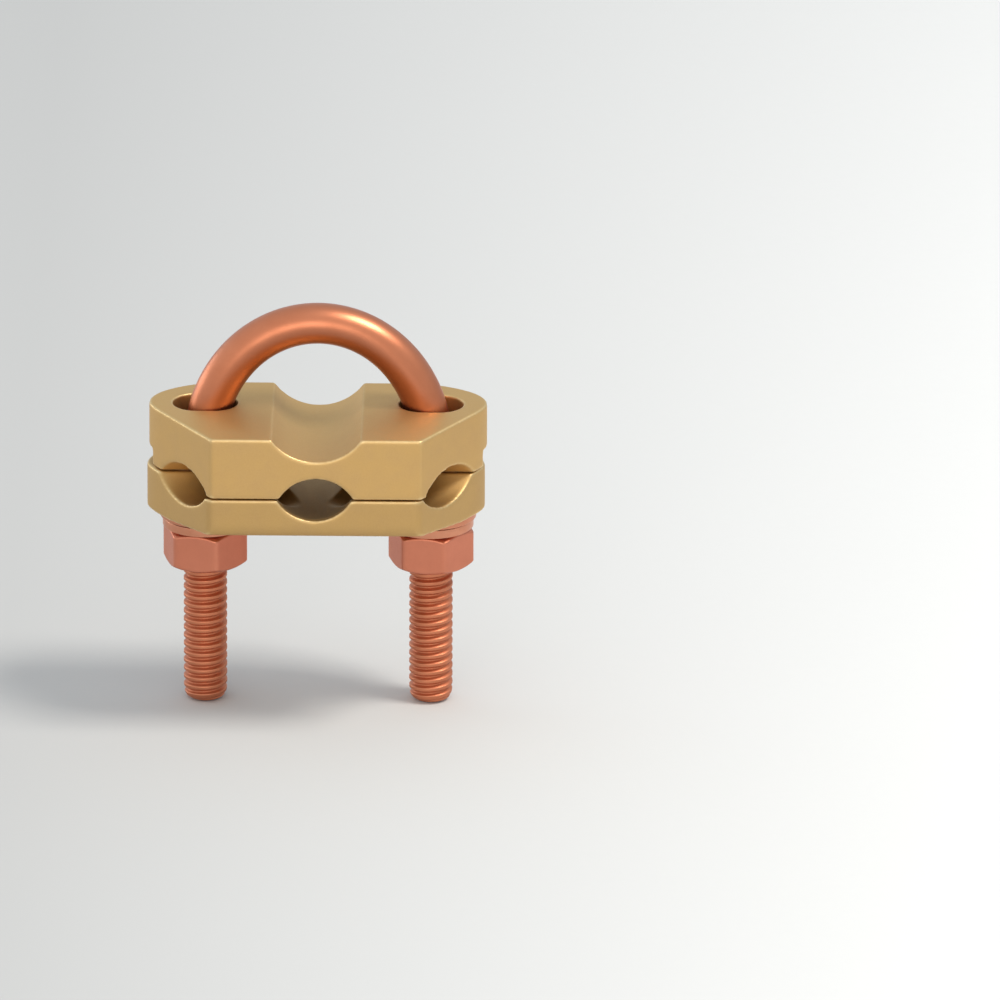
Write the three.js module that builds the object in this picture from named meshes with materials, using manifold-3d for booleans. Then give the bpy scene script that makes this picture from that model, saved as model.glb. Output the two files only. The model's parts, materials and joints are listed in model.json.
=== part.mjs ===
// Ground rod clamp: a U-bolt pulls a grooved saddle against a ground rod, and the same two nuts squeeze
// earthing conductors between the saddle and a clamp plate. Millimetres, +Z up. X runs from leg to leg and
// Y along the rod. The origin is on the axis of a rod seated in the saddle, level with the U-bolt's legs.
import * as THREE from "three";
import { mergeVertices } from "three/addons/utils/BufferGeometryUtils.js";
import Module from "manifold-3d";

const wasm = await Module();
wasm.setup();

// Standard sizes: 5/8 inch rod, 1/4-20 thread with its nut and washers.
const ROD_RADIUS = 7.94;
const THREAD_RADIUS = 3.175;
const THREAD_PITCH = 1.27;
const THREAD_DEPTH = 0.62;
const NUT_ACROSS_FLATS = 11.11;
const NUT_HEIGHT = 5.75;
const NUT_FACE_RADIUS = 0.475 * NUT_ACROSS_FLATS;
const NUT_CHAMFER_ANGLE = Math.PI / 6;
const NUT_MOUTH_DEPTH = 0.5;
const FLAT_WASHER = { inner: 3.6, outer: 6.6, height: 1.15 };
const SPRING_WASHER = { inner: 3.45, outer: 6.2, height: 1.3, rise: 0.15, split: 0.16 };

// U-bolt: the bow is half an ellipse that runs tangentially into the legs. Each leg's plain shank takes
// SHANK_SHARE of the swept rod's steps.
const LEG_X = 16.45;
const SHANK_RADIUS = 3.05;
const BOW_HEIGHT = 18.75;
const BOW_CENTRE_DROP = 6.4;
const SHANK_LENGTH = 8;
const LEG_LENGTH = 45.7;
const THREAD_LENGTH = 32.7;
const TIP_CHAMFER = 0.7;
const SHANK_SHARE = 0.12;

// Castings, seen from above: flat front and back, straight cut front corners, rounded ends.
const FRONT_Y = -15.9;
const BACK_Y = 8.5;
const FLAT_HALF_WIDTH = 15.3;
const END_X = 24.6;
const CORNER_END = { x: 23.0, y: -3.8 };
const END_ROUND = { frontY: -1.2, sideY: 0.3, bulgeX: 24.5, bulgeY: 4.9, backX: 19.4, backY: 7.4 };
const SADDLE_CORNER_ROUND = 0.35;
const PLATE_CORNER_ROUND = 0.9;
const SADDLE_HEIGHT = 9.2;
const PLATE_HEIGHT = 6.75;
const PLATE_NOSE = { startY: -6.6, endY: -15.0, rise: 1.05, faceHeight: 3.95 };
const PLATE_RIB = { halfWidth: 7.5, height: 0.6, frontY: 0 };
const PLATE_SHIFT = -0.3;
const ROD_SEAT_DEPTH = 3.4;

// Conductor channels: two shallow arcs that meet in points at the parting plane.
const LENGTHWISE_CHANNEL = { halfWidth: 5.35, depth: 3.15 };
const CROSS_CHANNEL = { halfWidth: 5.45, depth: 2.8, y: -9.4 };
const LEG_SLOT = { halfLength: 4.7, radius: 3.5 };
const PLATE_HOLE_RADIUS = 3.6;
const RELIEF = { innerX: 11.5, frontY: -1.6, height: 2.5, corner: 1.3 };

// Clearances between pieces.
const PARTING_GAP = 0.15;
const SEAT_GAP = 0.08;
const THREAD_CLEARANCE = 0.2;

// What differs from side to side: how the nut stands and where the spring washer is split, in degrees.
const SIDES = [
  { side: "left", x: -LEG_X, nutCorner: -14, split: 172 },
  { side: "right", x: LEG_X, nutCorner: -9.6, split: 165 },
];

// Facets round each kind of round face, and how far a cut runs past the faces it opens.
const FACETS = { thread: 16, ring: 48, mouth: 32, channel: 64, rodSeat: 96 };
const BOW_STEPS = 48;
const PAST = 1;
const BEYOND = 60;

// Heights below the saddle's top face.
const partingZ = -SADDLE_HEIGHT;
const plateTop = partingZ - PARTING_GAP;
const plateBottom = plateTop - PLATE_HEIGHT;
const flatWasherTop = plateBottom - SEAT_GAP;
const springWasherTop = flatWasherTop - FLAT_WASHER.height - SEAT_GAP;
const nutTop = springWasherTop - SPRING_WASHER.height - SPRING_WASHER.rise - SEAT_GAP;
const rodAxisAboveTop = ROD_RADIUS - ROD_SEAT_DEPTH;
const nutCornerRadius = NUT_ACROSS_FLATS / Math.sqrt(3);

function solidOf(geometry) {
  const bare = geometry.clone();
  bare.deleteAttribute("normal");
  bare.deleteAttribute("uv");
  const merged = mergeVertices(bare, 1e-4);
  return new wasm.Manifold(
    new wasm.Mesh({
      numProp: 3,
      vertProperties: new Float32Array(merged.attributes.position.array),
      triVerts: new Uint32Array(merged.index.array),
    }),
  );
}

function geometryOf(solid) {
  const mesh = solid.getMesh();
  const indexed = new THREE.BufferGeometry();
  indexed.setAttribute("position", new THREE.BufferAttribute(mesh.vertProperties, 3));
  indexed.setIndex(new THREE.BufferAttribute(mesh.triVerts, 1));
  const geometry = indexed.toNonIndexed();
  geometry.computeVertexNormals();
  return geometry;
}

// A prism of an (x, y) shape, from z = bottom to z = top.
function prism(shape, bottom, top, curveSegments = 12) {
  const options = { depth: top - bottom, bevelEnabled: false, curveSegments };
  return solidOf(new THREE.ExtrudeGeometry(shape, options).translate(0, 0, bottom));
}

// A prism of an (x, z) shape, from y = front to well behind the part.
function prismAlongY(shape, front) {
  const options = { depth: BEYOND, bevelEnabled: false, curveSegments: 4 };
  const geometry = new THREE.ExtrudeGeometry(shape, options).rotateX(Math.PI / 2);
  return solidOf(geometry.translate(0, front + BEYOND, 0));
}

// A prism of a (y, z) shape, right across the part.
function prismAlongX(shape) {
  const options = { depth: BEYOND, bevelEnabled: false, curveSegments: 6 };
  const geometry = new THREE.ExtrudeGeometry(shape, options).rotateX(Math.PI / 2).rotateZ(Math.PI / 2);
  return solidOf(geometry.translate(-BEYOND / 2, 0, 0));
}

function barAlongY(radius, x, z, segments) {
  return solidOf(new THREE.CylinderGeometry(radius, radius, BEYOND, segments).translate(x, 0, z));
}

function barAlongX(radius, y, z, segments) {
  const bar = new THREE.CylinderGeometry(radius, radius, BEYOND, segments).rotateZ(Math.PI / 2);
  return solidOf(bar.translate(0, y, z));
}

// The castings' outline, drawn anticlockwise from the front left corner. The front corners are rounded
// over a length of round on both sides.
function castingOutline(round) {
  const { frontY, sideY, bulgeX, bulgeY, backX, backY } = END_ROUND;
  const corner = new THREE.Vector2(FLAT_HALF_WIDTH, FRONT_Y);
  const alongCut = new THREE.Vector2(CORNER_END.x, CORNER_END.y).sub(corner).setLength(round);
  const cutStart = corner.clone().add(alongCut);
  const shape = new THREE.Shape();
  shape.moveTo(round - corner.x, corner.y);
  shape.lineTo(corner.x - round, corner.y);
  shape.quadraticCurveTo(corner.x, corner.y, cutStart.x, cutStart.y);
  shape.lineTo(CORNER_END.x, CORNER_END.y);
  shape.quadraticCurveTo(END_X, frontY, END_X, sideY);
  shape.bezierCurveTo(bulgeX, bulgeY, backX, backY, FLAT_HALF_WIDTH, BACK_Y);
  shape.lineTo(-FLAT_HALF_WIDTH, BACK_Y);
  shape.bezierCurveTo(-backX, backY, -bulgeX, bulgeY, -END_X, sideY);
  shape.quadraticCurveTo(-END_X, frontY, -CORNER_END.x, CORNER_END.y);
  shape.lineTo(-cutStart.x, cutStart.y);
  shape.quadraticCurveTo(-corner.x, corner.y, round - corner.x, corner.y);
  return shape;
}

// A slot with round ends, long side along X.
function slotShape(x, halfLength, radius) {
  const reach = halfLength - radius;
  const shape = new THREE.Shape();
  shape.absarc(x + reach, 0, radius, -Math.PI / 2, Math.PI / 2, false);
  shape.absarc(x - reach, 0, radius, Math.PI / 2, 1.5 * Math.PI, false);
  shape.closePath();
  return shape;
}

function circleShape(x, radius) {
  return new THREE.Shape().absarc(x, 0, radius, 0, 2 * Math.PI, false);
}

function arcRadius({ halfWidth, depth }) {
  return (halfWidth ** 2 + depth ** 2) / (2 * depth);
}

// Half of both conductor channels: side is 1 for the saddle and -1 for the plate.
function channels(side, faceZ) {
  const lengthwise = arcRadius(LENGTHWISE_CHANNEL);
  const across = arcRadius(CROSS_CHANNEL);
  const lengthwiseZ = faceZ - side * (lengthwise - LENGTHWISE_CHANNEL.depth);
  const acrossZ = faceZ - side * (across - CROSS_CHANNEL.depth);
  const lengthwiseBar = barAlongY(lengthwise, 0, lengthwiseZ, FACETS.channel);
  return lengthwiseBar.add(barAlongX(across, CROSS_CHANNEL.y, acrossZ, FACETS.channel));
}

// The slit under one end of the saddle, open to the leg's slot, the end and the back.
function relief(sign) {
  const top = partingZ + RELIEF.height;
  const inner = sign * RELIEF.innerX;
  const shape = new THREE.Shape();
  shape.moveTo(inner, partingZ - PAST);
  shape.lineTo(inner, top - RELIEF.corner);
  shape.quadraticCurveTo(inner, top, inner + sign * RELIEF.corner, top);
  shape.lineTo(sign * BEYOND, top);
  shape.lineTo(sign * BEYOND, partingZ - PAST);
  shape.closePath();
  return prismAlongY(shape, RELIEF.frontY);
}

// What the rounded and sloping front takes off the plate's underside.
function plateNose() {
  const { startY, endY, rise, faceHeight } = PLATE_NOSE;
  const faceEnd = plateTop - faceHeight;
  const outside = FRONT_Y - PAST;
  const below = plateBottom - PAST;
  const shape = new THREE.Shape();
  shape.moveTo(startY, plateBottom);
  shape.lineTo(endY, plateBottom + rise);
  shape.quadraticCurveTo(FRONT_Y, plateBottom + rise, FRONT_Y, faceEnd);
  shape.lineTo(outside, faceEnd);
  shape.lineTo(outside, below);
  shape.lineTo(startY, below);
  shape.closePath();
  return prismAlongX(shape);
}

// The rib between the washers' pads, which grows out of the underside towards the back.
function plateRib() {
  const { halfWidth, height, frontY } = PLATE_RIB;
  const ribBottom = plateBottom - height;
  const root = halfWidth + 2 * height;
  const section = new THREE.Shape();
  section.moveTo(-halfWidth, ribBottom);
  section.lineTo(halfWidth, ribBottom);
  section.lineTo(root, plateBottom + height);
  section.lineTo(-root, plateBottom + height);
  section.closePath();
  const slope = new THREE.Shape();
  slope.moveTo(frontY, plateBottom);
  slope.lineTo(BACK_Y + PAST, ribBottom - (PAST * height) / (BACK_Y - frontY));
  slope.lineTo(frontY, ribBottom - PAST);
  slope.closePath();
  const inside = prism(castingOutline(PLATE_CORNER_ROUND), ribBottom - PAST, plateBottom + PAST);
  return prismAlongY(section, frontY).intersect(inside).subtract(prismAlongX(slope));
}

function saddle() {
  let body = prism(castingOutline(SADDLE_CORNER_ROUND), partingZ, 0);
  body = body.subtract(barAlongY(ROD_RADIUS, 0, rodAxisAboveTop, FACETS.rodSeat));
  body = body.subtract(channels(1, partingZ));
  for (const sign of [-1, 1]) {
    const slot = slotShape(sign * LEG_X, LEG_SLOT.halfLength, LEG_SLOT.radius);
    body = body.subtract(prism(slot, partingZ - PAST, PAST));
    body = body.subtract(relief(sign));
  }
  return body;
}

function clampPlate() {
  let body = prism(castingOutline(PLATE_CORNER_ROUND), plateBottom, plateTop);
  body = body.add(plateRib());
  body = body.subtract(channels(-1, plateTop));
  body = body.subtract(plateNose());
  for (const sign of [-1, 1]) {
    const hole = circleShape(sign * LEG_X, PLATE_HOLE_RADIUS);
    body = body.subtract(prism(hole, plateBottom - PAST, plateTop + PAST));
  }
  return body;
}

// Right-hand threaded rod on the Z axis: a cylinder whose wall is pushed in along a helix. The helix has
// the same phase for every rod, so a nut cut with it meshes with the leg.
function threadedRod(crestRadius, bottom, top, chamfer) {
  const height = top - bottom;
  const rows = Math.round((4 * height) / THREAD_PITCH);
  const geometry = new THREE.CylinderGeometry(1, 1, height, FACETS.thread, rows).rotateX(Math.PI / 2);
  geometry.translate(0, 0, (top + bottom) / 2);
  const position = geometry.attributes.position;
  for (let i = 0; i < position.count; i++) {
    const x = position.getX(i);
    const y = position.getY(i);
    const z = position.getZ(i);
    const onAxis = Math.hypot(x, y) < 0.5;
    const turns = z / THREAD_PITCH - Math.atan2(y, x) / (2 * Math.PI);
    const threaded = crestRadius - THREAD_DEPTH * (0.5 - 0.5 * Math.cos(2 * Math.PI * turns));
    const radius = onAxis ? 0 : Math.min(threaded, crestRadius - chamfer + z - bottom);
    position.setXY(i, x * radius, y * radius);
  }
  return solidOf(geometry);
}

// The U-bolt's centre line: down the left leg, over the bow and down the right leg.
class UBoltCentreline extends THREE.Curve {
  getPoint(t, target = new THREE.Vector3()) {
    const bow = THREE.MathUtils.clamp((t - SHANK_SHARE) / (1 - 2 * SHANK_SHARE), 0, 1);
    const outside = Math.max(SHANK_SHARE - t, t - 1 + SHANK_SHARE, 0) / SHANK_SHARE;
    const angle = Math.PI * (1 - bow);
    const z = BOW_HEIGHT * Math.sin(angle) - BOW_CENTRE_DROP - SHANK_LENGTH * outside;
    return target.set(LEG_X * Math.cos(angle), 0, z);
  }
}

function uBolt() {
  const section = circleShape(0, SHANK_RADIUS);
  const extrudePath = new UBoltCentreline();
  const options = { extrudePath, steps: BOW_STEPS, curveSegments: 9 };
  let body = solidOf(new THREE.ExtrudeGeometry(section, options));
  const leg = threadedRod(THREAD_RADIUS, -LEG_LENGTH, -LEG_LENGTH + THREAD_LENGTH, TIP_CHAMFER);
  for (const sign of [-1, 1]) {
    body = body.add(leg.translate([sign * LEG_X, 0, 0]));
  }
  return body;
}

// Hex nut with both ends chamfered at 30 degrees and a threaded bore with countersunk mouths.
function hexNut(cornerAngle) {
  const middle = nutTop - NUT_HEIGHT / 2;
  const half = NUT_HEIGHT / 2;
  const blank = new THREE.CylinderGeometry(nutCornerRadius, nutCornerRadius, NUT_HEIGHT, 6);
  blank.rotateX(Math.PI / 2).rotateZ(cornerAngle - Math.PI / 2).translate(0, 0, middle);
  const outside = nutCornerRadius + PAST;
  const chamferHeight = (outside - NUT_FACE_RADIUS) * Math.tan(NUT_CHAMFER_ANGLE);
  const turned = [
    new THREE.Vector2(0, middle - half),
    new THREE.Vector2(NUT_FACE_RADIUS, middle - half),
    new THREE.Vector2(outside, middle - half + chamferHeight),
    new THREE.Vector2(outside, middle + half - chamferHeight),
    new THREE.Vector2(NUT_FACE_RADIUS, middle + half),
    new THREE.Vector2(0, middle + half),
  ];
  let body = solidOf(blank).intersect(turnedSolid(turned, FACETS.ring));
  const boreRadius = THREAD_RADIUS + THREAD_CLEARANCE;
  body = body.subtract(threadedRod(boreRadius, -LEG_LENGTH, -LEG_LENGTH + THREAD_LENGTH, 0));
  for (const end of [-1, 1]) {
    const mouth = [
      new THREE.Vector2(0, middle + end * (half - boreRadius)),
      new THREE.Vector2(boreRadius + NUT_MOUTH_DEPTH, middle + end * (half + NUT_MOUTH_DEPTH)),
      new THREE.Vector2(0, middle + end * (half + NUT_MOUTH_DEPTH)),
    ];
    body = body.subtract(turnedSolid(end > 0 ? mouth : mouth.reverse(), FACETS.mouth));
  }
  return body;
}

// A profile of (radius, z) points turned about the Z axis.
function turnedSolid(profile, segments) {
  return solidOf(new THREE.LatheGeometry(profile, segments).rotateX(Math.PI / 2));
}

function flatWasher() {
  const { inner, outer, height } = FLAT_WASHER;
  const bottom = flatWasherTop - height;
  const ring = [
    new THREE.Vector2(inner, bottom),
    new THREE.Vector2(outer, bottom),
    new THREE.Vector2(outer, flatWasherTop),
    new THREE.Vector2(inner, flatWasherTop),
    new THREE.Vector2(inner, bottom),
  ];
  return turnedSolid(ring, FACETS.ring);
}

// Spring lock washer: a split ring whose ends stand apart by the rise.
function springWasher(splitAngle) {
  const { inner, outer, height, rise, split } = SPRING_WASHER;
  const start = split / 2;
  const end = 2 * Math.PI - split / 2;
  const shape = new THREE.Shape();
  shape.absarc(0, 0, outer, start, end, false);
  shape.absarc(0, 0, inner, end, start, true);
  shape.closePath();
  const ring = new THREE.ExtrudeGeometry(shape, { depth: height, bevelEnabled: false, curveSegments: 28 });
  const position = ring.attributes.position;
  for (let i = 0; i < position.count; i++) {
    const angle = Math.atan2(position.getY(i), position.getX(i));
    const turn = (angle + 2 * Math.PI) / (2 * Math.PI);
    position.setZ(i, position.getZ(i) + rise * (turn % 1));
  }
  ring.rotateZ(splitAngle).translate(0, 0, springWasherTop - height - rise);
  return solidOf(ring);
}

const BRASS = { color: 0xc4a060, roughness: 0.45, metalness: 1 };
const COPPER = { color: 0xb8684a, roughness: 0.4, metalness: 1 };
const clamp = new THREE.Group();
clamp.position.z = -rodAxisAboveTop;

function place(name, solid, finish, x = 0) {
  const mesh = new THREE.Mesh(geometryOf(solid), new THREE.MeshStandardMaterial(finish));
  mesh.name = name;
  mesh.position.x = x;
  clamp.add(mesh);
}

place("u_bolt", uBolt(), COPPER);
place("saddle", saddle(), BRASS);
place("clamp_plate", clampPlate(), BRASS, PLATE_SHIFT);

for (const { side, x, nutCorner, split } of SIDES) {
  place("flat_washer_" + side, flatWasher(), COPPER, x);
  place("spring_washer_" + side, springWasher(THREE.MathUtils.degToRad(split)), COPPER, x);
  place("nut_" + side, hexNut(THREE.MathUtils.degToRad(nutCorner)), COPPER, x);
}

const group = new THREE.Group();
group.add(clamp);
export default group;
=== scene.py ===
import json
import math

import bpy
import numpy as np
from mathutils import Euler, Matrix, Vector


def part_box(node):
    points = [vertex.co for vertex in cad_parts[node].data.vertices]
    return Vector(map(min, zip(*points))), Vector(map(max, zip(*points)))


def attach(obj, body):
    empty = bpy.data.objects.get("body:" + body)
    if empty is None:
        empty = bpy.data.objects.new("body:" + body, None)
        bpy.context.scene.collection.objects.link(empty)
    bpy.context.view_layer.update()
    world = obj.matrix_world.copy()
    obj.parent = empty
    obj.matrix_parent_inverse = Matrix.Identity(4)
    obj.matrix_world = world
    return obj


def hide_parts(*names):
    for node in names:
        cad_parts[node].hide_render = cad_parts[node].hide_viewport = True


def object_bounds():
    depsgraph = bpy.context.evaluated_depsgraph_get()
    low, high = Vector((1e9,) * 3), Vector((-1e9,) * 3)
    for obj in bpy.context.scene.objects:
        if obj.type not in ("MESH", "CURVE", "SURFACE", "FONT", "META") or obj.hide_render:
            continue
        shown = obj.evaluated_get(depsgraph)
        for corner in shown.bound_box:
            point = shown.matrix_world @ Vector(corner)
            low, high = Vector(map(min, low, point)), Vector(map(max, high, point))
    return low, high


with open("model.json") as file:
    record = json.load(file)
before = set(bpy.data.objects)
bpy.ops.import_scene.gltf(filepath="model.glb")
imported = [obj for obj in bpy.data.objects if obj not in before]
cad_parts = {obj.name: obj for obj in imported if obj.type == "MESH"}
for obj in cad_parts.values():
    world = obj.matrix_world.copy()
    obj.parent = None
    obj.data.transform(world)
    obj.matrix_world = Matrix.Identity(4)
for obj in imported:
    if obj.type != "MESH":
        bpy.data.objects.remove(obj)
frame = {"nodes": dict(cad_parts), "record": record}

# Ground rod clamp in metres, in the CAD part's frame: X from leg to leg, Y along the rod, Z up.
CAD_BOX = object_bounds()
MM = 0.001

# Sizes that the CAD boxes don't give, the same as in the part's source. Angles are in degrees, and
# those that differ from side to side are given for the left (-1) and the right (1).
SHANK_RADIUS = 3.05 * MM
BOW_CENTRE_DROP = 6.4 * MM
THREAD_RADIUS = 3.175 * MM
THREAD_PITCH = 1.27 * MM
THREAD_LENGTH = 32.7 * MM
THREAD_CLEARANCE = 0.2 * MM
WASHER_BORE_CLEARANCE = 0.42 * MM
SPRING_INNER = 3.45 * MM
SPRING_OUTER = 6.2 * MM
SPRING_RISE = 0.15 * MM
SPRING_SPLIT_RADIANS = 0.16
SPLIT_ANGLE = {-1: 172.0, 1: 165.0}
NUT_ACROSS_FLATS = 11.11 * MM
NUT_CORNER = {-1: -14.0, 1: -9.6}
NUT_FACE_SHARE = 0.95
NUT_CHAMFER_ANGLE = 30
NUT_THREAD_DEPTH = 0.62 * MM

# Where the visual model is softer than the CAD part. The two shares are of half a thread pitch.
BOW_THINNING = 0.15 * MM
LEG_THREAD_DEPTH = 0.52 * MM
CREST_SHARE = 0.26
FLANK_SHARE = 0.64
TIP_CHAMFER = 0.85 * MM
TIP_ROUND_SHARE = 0.55
NUT_CORNER_ROUND = 0.13 * MM
NUT_EDGE_ROUND = 0.1 * MM
NUT_MOUTH_ROUND = 0.3 * MM
NUT_MOUTH_DROP = 0.02 * MM
FLAT_WASHER_ROUND = 0.16 * MM
SPRING_WASHER_ROUND = 0.12 * MM

# How finely the pieces are meshed.
CAST_VOXEL = 0.2 * MM
CAST_SMOOTHING = 12
SHANK_SEGMENTS = 56
PLAIN_RINGS = 8
BOW_RINGS = 97
LEG_ROWS_PER_PITCH = 18
NUT_ROWS_PER_PITCH = 14
NUT_COLUMNS_PER_SIDE = 14
WASHER_COLUMNS = 112
SPRING_STEPS = 110
CORNER_STEPS = 5

# Where painted shade darkens the castings: limits just outside the channels and the leg slots, and a flat
# share on the clamp plate. The corner face is given by its outward normal and its distance from the
# origin.
CHANNEL_HALF_WIDTH = 5.5 * MM
CHANNEL_HALF_HEIGHT = 3.3 * MM
CROSS_Y = -9.4 * MM
CORNER_FACE = {"x": 0.844, "y": -0.537, "distance": 21.45 * MM}
SLOT_HALF_LENGTH = 4.85 * MM
SLOT_HALF_WIDTH = 3.65 * MM
FULL_SHADE_DEPTH = 7 * MM
LEVEL_NORMAL_Z = 0.9
LEVEL_FADE = 0.4
PLATE_PAINTED_SHADE = 0.32

# Where painted shade darkens the bow's underside: from vertices that face this much towards the rod,
# fading in.
BOW_SHADE_START = -0.5
BOW_SHADE_FADE = 0.9
BOW_SHADE_RISE = 8 * MM

BODY_OF = {n: body for body, nodes in frame["record"]["behaviour"]["bodies"].items() for n in nodes}
SADDLE_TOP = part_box("saddle")[1].z
BOW_BASE = SADDLE_TOP - BOW_CENTRE_DROP


def middle(node):
    low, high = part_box(node)
    return (low + high) / 2


def side_of(node):
    return -1 if middle(node).x < 0 else 1


def smoothstep(x):
    x = np.clip(x, 0, 1)
    return x * x * (3 - 2 * x)


# Meshes ------------------------------------------------------------------------------------------


def new_piece(name, points, faces):
    mesh = bpy.data.meshes.new(name)
    mesh.from_pydata(points.tolist(), [], faces)
    mesh.update()
    piece = bpy.data.objects.new(name, mesh)
    bpy.context.scene.collection.objects.link(piece)
    return piece


def grid_faces(rows, columns, closed_rows):
    """Quads of a grid whose columns close on themselves, and whose rows do too if closed_rows."""
    last = rows if closed_rows else rows - 1
    return [
        (
            r * columns + c,
            r * columns + (c + 1) % columns,
            (r + 1) % rows * columns + (c + 1) % columns,
            (r + 1) % rows * columns + c,
        )
        for r in range(last)
        for c in range(columns)
    ]


def around(axis, radius, z, angle):
    """Points round an upright axis. Any of radius, z and angle may be an array."""
    x = axis.x + radius * np.cos(angle)
    y = axis.y + radius * np.sin(angle)
    return np.stack([x, y, z + 0 * x], 1)


def thread_radius(crest, z, angle, depth):
    """Radius of a right-hand thread at height z, in the same phase as the CAD thread."""
    turns = (z - SADDLE_TOP) / THREAD_PITCH - angle / (2 * math.pi)
    from_crest = np.abs(turns - np.round(turns)) * 2
    return crest - depth * smoothstep((from_crest - CREST_SHARE) / FLANK_SHARE)


def places_and_normals(mesh):
    place = np.empty(len(mesh.vertices) * 3)
    normal = np.empty(len(mesh.vertices) * 3)
    mesh.vertices.foreach_get("co", place)
    mesh.vertex_normals.foreach_get("vector", normal)
    return place.reshape(-1, 3), normal.reshape(-1, 3)


def write_marks(mesh, name, values):
    marks = mesh.attributes.new(name, "FLOAT", "POINT")
    marks.data.foreach_set("value", values.astype(np.float32))


def mark_edges(mesh, sharp, soft):
    """Writes how convex (real abrasion with a painted highlight) and how concave (painted shade in
    creases) each vertex is.

    The marks go from 0 at the curvature soft to 1 at sharp, both per millimetre."""
    count = len(mesh.vertices)
    place, normal = places_and_normals(mesh)
    place = place / MM
    ends = np.empty(len(mesh.edges) * 2, int)
    mesh.edges.foreach_get("vertices", ends)
    a, b = ends.reshape(-1, 2).T
    along = place[b] - place[a]
    bend = ((normal[b] - normal[a]) * along).sum(1) / np.maximum((along**2).sum(1), 1e-6)
    neighbours = np.bincount(a, minlength=count) + np.bincount(b, minlength=count)
    neighbours = np.maximum(neighbours, 1)
    curvature = (np.bincount(a, bend, count) + np.bincount(b, bend, count)) / neighbours
    for _ in range(2):
        nearby = np.bincount(a, curvature[b], count) + np.bincount(b, curvature[a], count)
        curvature = (curvature + nearby / neighbours) / 2
    # Convex edges get real abrasion with a painted highlight, concave creases get painted shade.
    write_marks(mesh, "wear_and_highlight", smoothstep((curvature - soft) / (sharp - soft)))
    write_marks(mesh, "crease_shade", smoothstep((-curvature - soft) / (sharp - soft)))


def paint_channel_shade(mesh, node):
    """Writes how deep each vertex lies in a channel or leg slot, as painted shade that darkens the casting
    there.
    """
    place, normal = places_and_normals(mesh)
    x, y, z = place.T
    low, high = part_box(node)
    parting = (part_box("saddle")[0].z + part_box("clamp_plate")[1].z) / 2
    near_parting = np.abs(z - parting) < CHANNEL_HALF_HEIGHT
    in_lengthwise = near_parting & (np.abs(x) < CHANNEL_HALF_WIDTH)
    lengthwise = np.minimum(y - low.y, high.y - y) * in_lengthwise
    from_corner_face = CORNER_FACE["distance"] - CORNER_FACE["x"] * np.abs(x) - CORNER_FACE["y"] * y
    across = from_corner_face * (near_parting & (np.abs(y - CROSS_Y) < CHANNEL_HALF_WIDTH))
    upright = smoothstep((LEVEL_NORMAL_Z - np.abs(normal[:, 2])) / LEVEL_FADE)
    from_leg = np.abs(np.abs(x) - middle("nut_right").x)
    in_slot = (from_leg < SLOT_HALF_LENGTH) & (np.abs(y) < SLOT_HALF_WIDTH)
    slot = np.minimum(SADDLE_TOP - z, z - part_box("clamp_plate")[0].z) * in_slot * upright
    channel_shade = smoothstep(np.maximum(np.maximum(lengthwise, across), slot) / FULL_SHADE_DEPTH)
    # The clamp plate is darkened all over by a flat share of painted shade.
    if node == "clamp_plate":
        channel_shade = np.maximum(channel_shade, PLATE_PAINTED_SHADE)
    write_marks(mesh, "painted_shade", channel_shade)


def paint_bow_underside_shade(mesh):
    """Writes painted shade on the bow: how far each vertex faces the rod, darkest on the underside."""
    place, normal = places_and_normals(mesh)
    inward = (0, 0, BOW_BASE) - place
    inward[:, 1] = 0
    inward /= np.linalg.norm(inward, axis=1)[:, None]
    facing = (normal * inward).sum(1)
    above = smoothstep((place[:, 2] - BOW_BASE) / BOW_SHADE_RISE)
    underside_shade = smoothstep((facing - BOW_SHADE_START) / BOW_SHADE_FADE)
    write_marks(mesh, "painted_shade", above * underside_shade)


def apply_modifiers(piece):
    graph = bpy.context.evaluated_depsgraph_get()
    mesh = bpy.data.meshes.new_from_object(piece.evaluated_get(graph), depsgraph=graph)
    piece.modifiers.clear()
    piece.data = mesh


def keep_faces_flat(piece):
    weighted = piece.modifiers.new("flat faces", "WEIGHTED_NORMAL")
    weighted.weight = 90


def finish_piece(piece, node, material, sharp, soft):
    """Shades the piece, gives it its material and puts it in the place of its CAD node."""
    piece.data.polygons.foreach_set("use_smooth", [True] * len(piece.data.polygons))
    # Marks for edges brightened by real abrasion and a painted highlight, and for painted shade in
    # creases.
    mark_edges(piece.data, sharp, soft)
    piece.data.materials.clear()
    piece.data.materials.append(material)
    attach(piece, BODY_OF[node])
    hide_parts(node)


def casting(node, material):
    """A casting with soft edges: the CAD solid meshed again in small even faces, then relaxed."""
    piece = bpy.data.objects.new("cast_" + node, frame["nodes"][node].data.copy())
    bpy.context.scene.collection.objects.link(piece)
    remesh = piece.modifiers.new("even faces", "REMESH")
    remesh.mode = "VOXEL"
    remesh.voxel_size = CAST_VOXEL
    relax = piece.modifiers.new("soft edges", "SMOOTH")
    relax.factor = 0.5
    relax.iterations = CAST_SMOOTHING
    apply_modifiers(piece)
    # Painted shade in the channels and the leg slots, and a flat share of it on the clamp plate.
    paint_channel_shade(piece.data, node)
    finish_piece(piece, node, material, sharp=1.6, soft=0.35)


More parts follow.
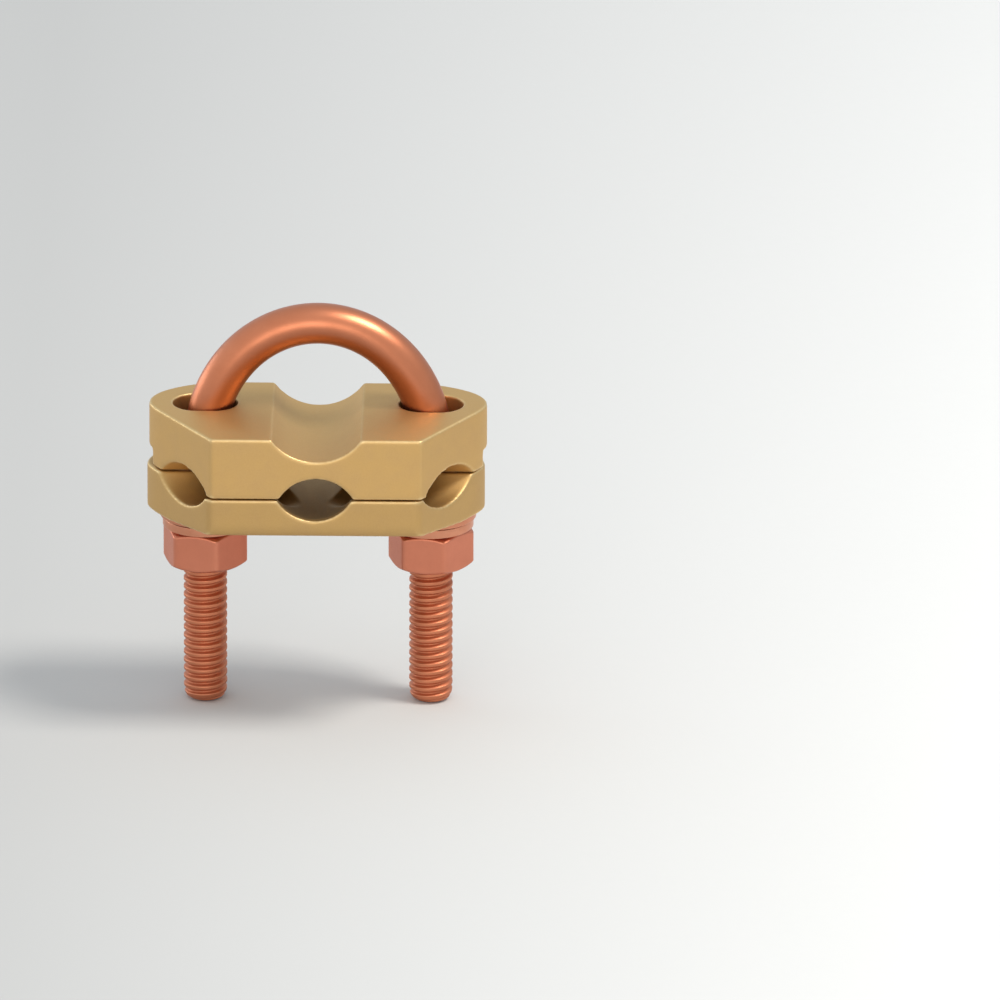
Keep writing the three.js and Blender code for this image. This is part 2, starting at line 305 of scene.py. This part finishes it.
def u_bolt(material):
    """One rod swept up the left leg, over the bow and down the right leg, with rolled threads."""
    low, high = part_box("u_bolt")
    leg_x = middle("nut_right").x
    bow_height = high.z - SHANK_RADIUS - BOW_BASE
    thread_top = low.z + THREAD_LENGTH
    foot_radius = SHANK_RADIUS + BOW_THINNING / 2
    angle = np.linspace(0, 2 * math.pi, SHANK_SEGMENTS, endpoint=False)

    def leg_ring(side, z):
        runout = smoothstep((thread_top - z) / THREAD_PITCH)
        crest = foot_radius + (THREAD_RADIUS - foot_radius) * runout
        radius = thread_radius(crest, z, angle, LEG_THREAD_DEPTH * runout)
        to_tip = (z - low.z) / (TIP_ROUND_SHARE * TIP_CHAMFER)
        tip_radius = THREAD_RADIUS - TIP_CHAMFER * math.exp(-to_tip)
        return around(Vector((side * leg_x, 0, 0)), np.minimum(radius, tip_radius), z, angle)

    def bow_ring(share):
        """Ring at a share from 0 (foot of the left leg) to 1 (foot of the right leg) of the bow."""
        turn = math.pi * (1 - share)
        centre = np.array([leg_x * math.cos(turn), 0, BOW_BASE + bow_height * math.sin(turn)])
        tangent = np.array([leg_x * math.sin(turn), 0, -bow_height * math.cos(turn)])
        tangent /= np.linalg.norm(tangent)
        inward = np.array([tangent[2], 0, -tangent[0]])
        radius = foot_radius - BOW_THINNING * math.sin(turn) ** 2
        return centre + radius * (np.outer(np.cos(angle), inward) + np.outer(np.sin(angle), (0, 1, 0)))

    threaded = int(THREAD_LENGTH / THREAD_PITCH * LEG_ROWS_PER_PITCH)
    heights = np.linspace(low.z, thread_top, threaded)
    heights = np.append(heights, np.linspace(thread_top, BOW_BASE, PLAIN_RINGS + 2)[1:-1])
    # Each ring starts at the side that faces the other leg. Along the rod the right leg runs down,
    # so its rings turn the other way.
    turned_back = [(SHANK_SEGMENTS // 2 - k) % SHANK_SEGMENTS for k in range(SHANK_SEGMENTS)]
    rings = [leg_ring(-1, z) for z in heights]
    rings += [bow_ring(share) for share in np.linspace(0, 1, BOW_RINGS)]
    rings += [leg_ring(1, z)[turned_back] for z in heights[::-1]]
    tip = range(SHANK_SEGMENTS)
    other_tip = range((len(rings) - 1) * SHANK_SEGMENTS, len(rings) * SHANK_SEGMENTS)
    faces = grid_faces(len(rings), SHANK_SEGMENTS, False) + [tuple(reversed(tip)), tuple(other_tip)]
    piece = new_piece("bolt_rod", np.concatenate(rings), faces)
    # Painted shade on the underside of the bow.
    paint_bow_underside_shade(piece.data)
    finish_piece(piece, "u_bolt", material, sharp=3.2, soft=0.9)


def hex_nut(node, material):
    """Hex nut with chamfered corners and a threaded bore, as a grid of columns round its axis."""
    low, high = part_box(node)
    half_width = NUT_ACROSS_FLATS / 2
    corner = math.radians(NUT_CORNER[side_of(node)])
    column = np.arange(6 * NUT_COLUMNS_PER_SIDE)
    share = (column % NUT_COLUMNS_PER_SIDE) / NUT_COLUMNS_PER_SIDE
    share = 0.5 - 0.5 * np.cos(math.pi * share)
    angle = corner + (column // NUT_COLUMNS_PER_SIDE + share) * math.pi / 3
    from_flat = np.mod(angle - corner, math.pi / 3) - math.pi / 6
    corner_radius = half_width / math.cos(math.pi / 6) - NUT_CORNER_ROUND
    hexagon = np.minimum(half_width / np.cos(from_flat), corner_radius)
    face = NUT_FACE_SHARE * half_width
    slope = math.tan(math.radians(NUT_CHAMFER_ANGLE))
    bore = THREAD_RADIUS + THREAD_CLEARANCE
    mouth = bore + NUT_MOUTH_ROUND
    soft = NUT_EDGE_ROUND

    def end_rows(z, inward):
        """Radius and height of the rings from the bore's mouth out to the wall, at one end."""
        return [
            (mouth, z + inward * NUT_MOUTH_DROP),
            (mouth + soft, z),
            ((mouth + face) / 2, z),
            (face - soft, z),
            (face + soft, z + inward * soft * slope),
            (hexagon - soft, z + inward * (hexagon - soft - face) * slope),
            (hexagon, z + inward * ((hexagon - face) * slope + soft)),
            (hexagon, z + inward * ((hexagon - face) * slope + 3 * soft)),
        ]

    rows = end_rows(low.z, 1) + end_rows(high.z, -1)[::-1]
    threaded = int((high.z - low.z) / THREAD_PITCH * NUT_ROWS_PER_PITCH)
    for z in np.linspace(high.z - NUT_MOUTH_ROUND, low.z + NUT_MOUTH_ROUND, threaded):
        rows.append((thread_radius(bore, z, angle, NUT_THREAD_DEPTH), z))
    points = np.concatenate([around(middle(node), radius, z, angle) for radius, z in rows])
    piece = new_piece("hex_" + node, points, grid_faces(len(rows), len(column), True))
    keep_faces_flat(piece)
    finish_piece(piece, node, material, sharp=3.2, soft=0.6)


def ring_section(inner, outer, bottom, top, soft):
    """Round-cornered rectangle as (radius, z) points, from the bottom outer corner and round upwards."""
    section = []
    for radius, z, start in (
        (outer - soft, bottom + soft, -math.pi / 2),
        (outer - soft, top - soft, 0),
        (inner + soft, top - soft, math.pi / 2),
        (inner + soft, bottom + soft, math.pi),
    ):
        for step in range(CORNER_STEPS):
            turn = start + step * math.pi / 2 / (CORNER_STEPS - 1)
            section.append((radius + soft * math.cos(turn), z + soft * math.sin(turn)))
    return section


def flat_washer(node, material):
    low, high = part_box(node)
    inner = THREAD_RADIUS + WASHER_BORE_CLEARANCE
    outer = (high.x - low.x) / 2
    section = ring_section(inner, outer, low.z, high.z, FLAT_WASHER_ROUND)
    angle = np.linspace(0, 2 * math.pi, WASHER_COLUMNS, endpoint=False)
    points = np.concatenate([around(middle(node), radius, z, angle) for radius, z in section])
    piece = new_piece("ring_" + node, points, grid_faces(len(section), WASHER_COLUMNS, True))
    keep_faces_flat(piece)
    finish_piece(piece, node, material, sharp=3.5, soft=0.8)


def spring_washer(node, material):
    """Split ring that climbs by SPRING_RISE from one end to the other."""
    low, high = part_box(node)
    side = side_of(node)
    axis = middle("nut_left" if side < 0 else "nut_right")
    top = high.z - SPRING_RISE
    section = ring_section(SPRING_INNER, SPRING_OUTER, low.z, top, SPRING_WASHER_ROUND)
    radius, z = np.array(section).T
    split = math.radians(SPLIT_ANGLE[side])
    first, last = SPRING_SPLIT_RADIANS / 2, 2 * math.pi - SPRING_SPLIT_RADIANS / 2
    points = []
    for turn in np.linspace(first, last, SPRING_STEPS):
        climb = SPRING_RISE * turn / (2 * math.pi)
        points.append(around(axis, radius, z + climb, split + turn))
    count = len(section)
    faces = [face[::-1] for face in grid_faces(SPRING_STEPS, count, False)]
    other_end = range((SPRING_STEPS - 1) * count, SPRING_STEPS * count)
    faces += [tuple(range(count)), tuple(reversed(other_end))]
    piece = new_piece("split_" + node, np.concatenate(points), faces)
    keep_faces_flat(piece)
    finish_piece(piece, node, material, sharp=3.5, soft=0.8)


# Materials ---------------------------------------------------------------------------------------

# Noise scales per metre, and how strongly each feature of the metals shows.
CLOUD_SCALE = 300
WEAR_SCALE = 900
WAVE_SCALE = 420
WAVE_DEPTH = 0.012 * MM
# Strength of the painted shade in channels, slots, on the plate and under the bow.
PAINTED_SHADE_STRENGTH = 0.75
EDGE_POLISH = 0.12
THREAD_MATTNESS = 0.13


class Nodes:
    """Short calls for building one material's nodes."""

    def __init__(self, name):
        self.material = bpy.data.materials.new(name)
        self.material.use_nodes = True
        self.tree = self.material.node_tree
        self.shader = self.tree.nodes["Principled BSDF"]
        self.place = self.tree.nodes.new("ShaderNodeTexCoord").outputs["Object"]

    def link(self, output, socket):
        self.tree.links.new(output, socket)

    def axis(self, letter):
        node = self.tree.nodes.new("ShaderNodeSeparateXYZ")
        self.link(self.place, node.inputs["Vector"])
        return node.outputs[letter]

    def noise(self, scale, detail, roughness=0.55):
        node = self.tree.nodes.new("ShaderNodeTexNoise")
        node.inputs["Scale"].default_value = scale
        node.inputs["Detail"].default_value = detail
        node.inputs["Roughness"].default_value = roughness
        self.link(self.place, node.inputs["Vector"])
        return node.outputs["Fac"]

    def spread(self, value, low, high, to_low=0.0, to_high=1.0):
        node = self.tree.nodes.new("ShaderNodeMapRange")
        node.inputs["From Min"].default_value = low
        node.inputs["From Max"].default_value = high
        node.inputs["To Min"].default_value = to_low
        node.inputs["To Max"].default_value = to_high
        self.link(value, node.inputs["Value"])
        return node.outputs["Result"]

    def math(self, operation, a, b):
        node = self.tree.nodes.new("ShaderNodeMath")
        node.operation = operation
        for socket, value in zip(node.inputs, (a, b)):
            if isinstance(value, (int, float)):
                socket.default_value = value
            else:
                self.link(value, socket)
        return node.outputs["Value"]

    def attribute(self, name, strength=1.0):
        node = self.tree.nodes.new("ShaderNodeAttribute")
        node.attribute_name = name
        return self.math("MULTIPLY", node.outputs["Fac"], strength)

    def blend(self, factor, a, b):
        """Colour a where factor is 0 and b where it is 1."""
        node = self.tree.nodes.new("ShaderNodeMix")
        node.data_type = "RGBA"
        self.link(factor, node.inputs["Factor"])
        colour_inputs = [s for s in node.inputs if s.type == "RGBA"]
        for socket, value in zip(colour_inputs, (a, b)):
            if isinstance(value, tuple):
                socket.default_value = (*value, 1)
            else:
                self.link(value, socket)
        return next(s for s in node.outputs if s.type == "RGBA")

    def bump(self, height, distance, below=None):
        node = self.tree.nodes.new("ShaderNodeBump")
        node.inputs["Strength"].default_value = 1
        node.inputs["Distance"].default_value = distance
        self.link(height, node.inputs["Height"])
        if below is not None:
            self.link(below, node.inputs["Normal"])
        return node.outputs["Normal"]


def metal(name, colour, tint, worn_highlight_colour, shade_colour, roughness, grain_size, grain_depth, wear_and_highlight=0.6, matt_below=None):
    """Satin metal: cloudy tone, fine blasted grain, edges brighter and smoother from real abrasion with a
    painted highlight, and painted shade in creases, channels and slots.

    The metal is duller below the height matt_below."""
    m = Nodes(name)
    clouds = m.spread(m.noise(CLOUD_SCALE, 4), 0.3, 0.7)
    specks = m.noise(1 / grain_size, 2, 0.6)
    patches = m.spread(m.noise(WEAR_SCALE, 3), 0.25, 0.7, 0.45, 1.0)
    edge = m.math("MULTIPLY", m.attribute("wear_and_highlight"), patches)
    base = m.blend(clouds, colour, tint)
    # Painted shade in creases and recesses, then edges brightened by real abrasion and a painted
    # highlight.
    base = m.blend(m.attribute("crease_shade", 0.5), base, shade_colour)
    base = m.blend(m.attribute("painted_shade", PAINTED_SHADE_STRENGTH), base, shade_colour)
    base = m.blend(m.math("MULTIPLY", edge, wear_and_highlight), base, worn_highlight_colour)
    m.link(base, m.shader.inputs["Base Color"])
    rough = m.spread(specks, 0.3, 0.7, roughness - 0.05, roughness + 0.06)
    rough = m.math("ADD", rough, m.spread(clouds, 0, 1, -0.02, 0.03))
    rough = m.math("SUBTRACT", rough, m.math("MULTIPLY", edge, EDGE_POLISH))
    if matt_below is not None:
        matt = m.spread(m.axis("Z"), matt_below - MM, matt_below + MM, THREAD_MATTNESS, 0)
        rough = m.math("ADD", rough, matt)
    m.link(rough, m.shader.inputs["Roughness"])
    m.shader.inputs["Metallic"].default_value = 1.0
    waves = m.bump(m.noise(WAVE_SCALE, 2), WAVE_DEPTH)
    m.link(m.bump(specks, grain_depth, waves), m.shader.inputs["Normal"])
    return m.material


def brass():
    return metal(
        "blasted_brass",
        colour=(0.655, 0.423, 0.168),
        tint=(0.635, 0.415, 0.178),
        worn_highlight_colour=(0.92, 0.74, 0.42),
        shade_colour=(0.34, 0.22, 0.09),
        roughness=0.53,
        grain_size=0.16 * MM,
        grain_depth=0.012 * MM,
    )


def bolt_copper():
    return metal(
        "bolt_copper",
        colour=(0.63, 0.232, 0.125),
        tint=(0.59, 0.212, 0.112),
        worn_highlight_colour=(0.74, 0.32, 0.19),
        shade_colour=(0.37, 0.122, 0.062),
        roughness=0.36,
        grain_size=0.12 * MM,
        grain_depth=0.006 * MM,
        wear_and_highlight=0.4,
        matt_below=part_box("u_bolt")[0].z + THREAD_LENGTH,
    )


def nut_copper():
    return metal(
        "nut_copper",
        colour=(0.66, 0.235, 0.145),
        tint=(0.62, 0.22, 0.135),
        worn_highlight_colour=(0.86, 0.46, 0.32),
        shade_colour=(0.28, 0.10, 0.05),
        roughness=0.42,
        grain_size=0.14 * MM,
        grain_depth=0.008 * MM,
    )


def washer_copper():
    return metal(
        "washer_copper",
        colour=(0.63, 0.24, 0.14),
        tint=(0.59, 0.22, 0.125),
        worn_highlight_colour=(0.82, 0.46, 0.30),
        shade_colour=(0.26, 0.09, 0.04),
        roughness=0.38,
        grain_size=0.12 * MM,
        grain_depth=0.006 * MM,
    )


def floor_with_painted_light():
    """Matt floor whose colour is painted light: grey on the left, brightening to nearly white at the
    picture's right edge.
    """
    grey, pale, plain = (0.525, 0.527, 0.53), (0.765, 0.767, 0.77), (0.5, 0.5, 0.5)
    left_edge, right_edge, far_right = -46 * MM, 99 * MM, 190 * MM
    m = Nodes("painted_light_floor")
    # Painted light: the floor brightens from left to right, and beyond the picture's right edge fades back
    # to mid grey.
    tone = m.blend(m.spread(m.axis("X"), left_edge, right_edge), grey, pale)
    tone = m.blend(m.spread(m.axis("X"), right_edge - MM, far_right), tone, plain)
    mottle = m.spread(m.noise(600, 3), 0.3, 0.7, 0.0, 0.02)
    m.link(m.blend(mottle, tone, plain), m.shader.inputs["Base Color"])
    m.shader.inputs["Roughness"].default_value = 0.9
    m.shader.inputs["Specular IOR Level"].default_value = 0.1
    return m.material


# The stage ---------------------------------------------------------------------------------------

FLOOR_GAP = 0.2 * MM
FLOOR_HALF = 6.0


def floor():
    """A pale floor under the tips of the legs."""
    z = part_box("u_bolt")[0].z - FLOOR_GAP
    corners = [(x * FLOOR_HALF, y * FLOOR_HALF, z) for x, y in ((-1, -1), (1, -1), (1, 1), (-1, 1))]
    plane = new_piece("floor", np.array(corners), [(0, 1, 2, 3)])
    plane.data.materials.append(floor_with_painted_light())


def area_light(name, place, size, power, colour):
    """A rectangular light that faces the middle of the clamp."""
    data = bpy.data.lights.new(name, "AREA")
    data.shape = "RECTANGLE"
    data.size, data.size_y = size
    data.energy = power
    data.color = colour
    lamp = bpy.data.objects.new(name, data)
    lamp.location = place
    target = (CAD_BOX[0] + CAD_BOX[1]) / 2
    lamp.rotation_euler = (Vector(place) - Vector(target)).to_track_quat("Z", "Y").to_euler()
    bpy.context.scene.collection.objects.link(lamp)


def lights():
    """A soft key from the upper right, a warm fill from the front and a weak light from the left."""
    area_light("key", (0.52, -0.16, 0.86), (0.28, 0.28), 6.5, (1, 0.96, 0.88))
    area_light("fill", (-0.10, -0.87, 0.24), (0.5, 0.4), 1.25, (1, 0.95, 0.86))
    area_light("side", (-0.60, 0.30, -0.02), (0.5, 0.3), 0.9, (0.95, 0.98, 1))


def dome():
    """A soft sky, warm in front, cooler behind and weaker on the right."""
    world = bpy.data.worlds.new("studio")
    bpy.context.scene.world = world
    world.use_nodes = True
    tree = world.node_tree
    place = tree.nodes.new("ShaderNodeTexCoord")
    axes = tree.nodes.new("ShaderNodeSeparateXYZ")
    tree.links.new(place.outputs["Generated"], axes.inputs["Vector"])

    def spread(axis, to_low, to_high):
        node = tree.nodes.new("ShaderNodeMapRange")
        node.inputs["From Min"].default_value = -1
        node.inputs["From Max"].default_value = 1
        node.inputs["To Min"].default_value = to_low
        node.inputs["To Max"].default_value = to_high
        tree.links.new(axes.outputs[axis], node.inputs["Value"])
        return node.outputs["Result"]

    ramp = tree.nodes.new("ShaderNodeValToRGB")
    ramp.color_ramp.elements[0].color = (1, 0.97, 0.92, 1)
    ramp.color_ramp.elements[1].color = (0.70, 0.80, 0.89, 1)
    background = tree.nodes["Background"]
    tree.links.new(spread("Y", 0, 1), ramp.inputs["Fac"])
    tree.links.new(ramp.outputs["Color"], background.inputs["Color"])
    tree.links.new(spread("X", 1.02, 0.74), background.inputs["Strength"])


def camera():
    """Long lens, 20.5 degrees up and a little to the right, with the clamp left of the middle."""
    elevation = math.radians(20.5)
    azimuth = math.radians(1.2)
    lens, sensor = 1000.0, 36.0
    picture_width = 0.1455
    # The saddle's top stands this share of the picture's width left of and above its middle.
    left, above = 0.1818, 0.0975
    aim = Vector((0, 0, SADDLE_TOP))
    back = Vector(
        (
            math.sin(azimuth) * math.cos(elevation),
            -math.cos(azimuth) * math.cos(elevation),
            math.sin(elevation),
        )
    )
    data = bpy.data.cameras.new("camera")
    data.lens = lens
    data.sensor_width = sensor
    data.clip_end = 100
    turn = Euler((-math.atan(above * sensor / lens), -math.atan(left * sensor / lens), 0))
    view = bpy.data.objects.new("camera", data)
    view.location = aim + back * (picture_width * lens / sensor)
    view.rotation_euler = (back.to_track_quat("Z", "Y").to_matrix() @ turn.to_matrix()).to_euler()
    bpy.context.scene.collection.objects.link(view)
    bpy.context.scene.camera = view


# Build -------------------------------------------------------------------------------------------

cast_metal = brass()
washer_metal = washer_copper()
nut_metal = nut_copper()
casting("saddle", cast_metal)
casting("clamp_plate", cast_metal)
u_bolt(bolt_copper())
for side in ("left", "right"):
    flat_washer("flat_washer_" + side, washer_metal)
    spring_washer("spring_washer_" + side, washer_metal)
    hex_nut("nut_" + side, nut_metal)

floor()
lights()
dome()
camera()
bpy.context.scene.view_settings.view_transform = "Standard"
